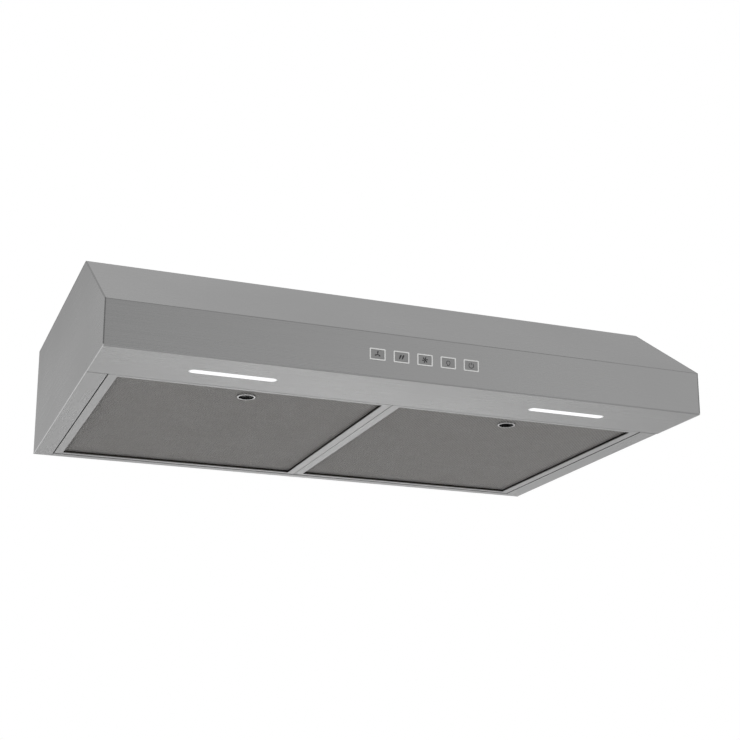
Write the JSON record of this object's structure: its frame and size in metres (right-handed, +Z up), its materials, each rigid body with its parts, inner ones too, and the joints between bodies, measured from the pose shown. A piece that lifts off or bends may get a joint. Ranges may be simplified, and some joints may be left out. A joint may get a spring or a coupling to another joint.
{
  "type": "under cabinet range hood",
  "caption": "Stainless under cabinet range hood with a sloped visor, push buttons, lamp bars, tilting mesh filters and a twin-wheel blower.",
  "frame": {"origin": "middle of the flat top face that lies against the cabinet: mid width and mid depth", "axes": "+X to the cook's right along the width, +Y towards the wall, +Z up into the cabinet"},
  "size_m": [0.7588, 0.5086, 0.191],
  "materials": {
    "stainless": "fine horizontal brushed grain",
    "galvanised": "zinc-coated sheet",
    "fasteners": "zinc-plated",
    "filter_aluminium": "satin",
    "mesh_aluminium": "expanded mesh",
    "latch_metal": "polished ring",
    "latch_black": "satin",
    "spring_steel": "bright",
    "motor_paint": "satin black",
    "bronze": "sintered",
    "laminations": "stacked sheets",
    "shaft_steel": "ground",
    "black_plastic": "moulded",
    "grey_plastic": "moulded",
    "bezel_white": "satin",
    "button_grey": "satin",
    "board_green": "solder mask",
    "lens_opal": "opal diffuser"
  },
  "bodies": {
    "hood": {"back_panel": "stainless", "blower_end_left": "galvanised", "blower_end_right": "galvanised", "blower_screws": "fasteners", "blower_scroll": "galvanised", "button_bezels": "bezel_white", "canopy_front": "stainless", "control_board": "board_green", "control_housing": "black_plastic", "control_screws": "fasteners", "damper_pin": "fasteners", "duct_collar": "galvanised", "duct_screws": "fasteners", "lamp_board_left": "board_green", "lamp_board_right": "board_green", "lamp_lens_left": "lens_opal", "lamp_lens_right": "lens_opal", "lamp_screws": "fasteners", "lamp_tray_left": "galvanised", "lamp_tray_right": "galvanised", "led_driver": "black_plastic", "motor_bearings": "bronze", "motor_bracket": "galvanised", "motor_cap_left": "motor_paint", "motor_cap_right": "motor_paint", "motor_capacitor": "grey_plastic", "motor_case": "motor_paint", "motor_stator": "laminations", "rear_duct_cover": "galvanised", "shell_rivets": "fasteners", "side_panel_left": "stainless", "side_panel_right": "stainless", "tact_switches": "black_plastic", "terminal_block": "grey_plastic", "top_panel": "stainless", "wiring_box": "galvanised", "wiring_cover": "galvanised", "wiring_screws": "fasteners"},
    "blower_rotor": {"motor_shaft": "shaft_steel", "motor_rotor": "laminations", "blower_wheel_left": "galvanised", "blower_wheel_right": "galvanised"},
    "damper": {"damper_flap": "galvanised"},
    "low_button": {"button_low": "button_grey"},
    "medium_button": {"button_medium": "button_grey"},
    "high_button": {"button_high": "button_grey"},
    "light_button": {"button_light": "button_grey"},
    "power_button": {"button_power": "button_grey"},
    "filter_left": {"filter_frame_left": "filter_aluminium", "filter_mesh_left": "mesh_aluminium", "filter_tabs_left": "spring_steel", "latch_cup_left": "latch_metal", "latch_spring_left": "spring_steel"},
    "latch_left": {"latch_slider_left": "latch_black"},
    "filter_right": {"filter_frame_right": "filter_aluminium", "filter_mesh_right": "mesh_aluminium", "filter_tabs_right": "spring_steel", "latch_cup_right": "latch_metal", "latch_spring_right": "spring_steel"},
    "latch_right": {"latch_slider_right": "latch_black"}
  },
  "joints": [
    {"name": "blower_spin", "type": "hinge", "parent": "hood", "child": "blower_rotor", "pos_m": [0, 0.144, -0.06], "axis": [1, 0, 0], "continuous": true},
    {"name": "damper_hinge", "type": "hinge", "parent": "hood", "child": "damper", "pos_m": [0, 0.21985, 0.008], "axis": [-1, 0, 0], "range_deg": [0, 78]},
    {"name": "low_press", "type": "slide", "parent": "hood", "child": "low_button", "axis": [0, 1, 0], "range_m": [0, 0.0012], "stiffness_N_per_m": 500, "springref_m": -0.001},
    {"name": "medium_press", "type": "slide", "parent": "hood", "child": "medium_button", "axis": [0, 1, 0], "range_m": [0, 0.0012], "stiffness_N_per_m": 500, "springref_m": -0.001},
    {"name": "high_press", "type": "slide", "parent": "hood", "child": "high_button", "axis": [0, 1, 0], "range_m": [0, 0.0012], "stiffness_N_per_m": 500, "springref_m": -0.001},
    {"name": "light_press", "type": "slide", "parent": "hood", "child": "light_button", "axis": [0, 1, 0], "range_m": [0, 0.0012], "stiffness_N_per_m": 500, "springref_m": -0.001},
    {"name": "power_press", "type": "slide", "parent": "hood", "child": "power_button", "axis": [0, 1, 0], "range_m": [0, 0.0012], "stiffness_N_per_m": 500, "springref_m": -0.001},
    {"name": "filter_left_tilt", "type": "hinge", "parent": "hood", "child": "filter_left", "pos_m": [0, 0.2415, -0.1495], "axis": [1, 0, 0], "range_deg": [0, 60]},
    {"name": "filter_right_tilt", "type": "hinge", "parent": "hood", "child": "filter_right", "pos_m": [0, 0.2415, -0.1495], "axis": [1, 0, 0], "range_deg": [0, 60]},
    {"name": "latch_left_pull", "type": "slide", "parent": "filter_left", "child": "latch_left", "axis": [0, 1, 0], "range_m": [0, 0.0035], "stiffness_N_per_m": 300, "springref_m": -0.002, "deforming": ["latch_spring_left"]},
    {"name": "latch_right_pull", "type": "slide", "parent": "filter_right", "child": "latch_right", "axis": [0, 1, 0], "range_m": [0, 0.0035], "stiffness_N_per_m": 300, "springref_m": -0.002, "deforming": ["latch_spring_right"]}
  ]
}
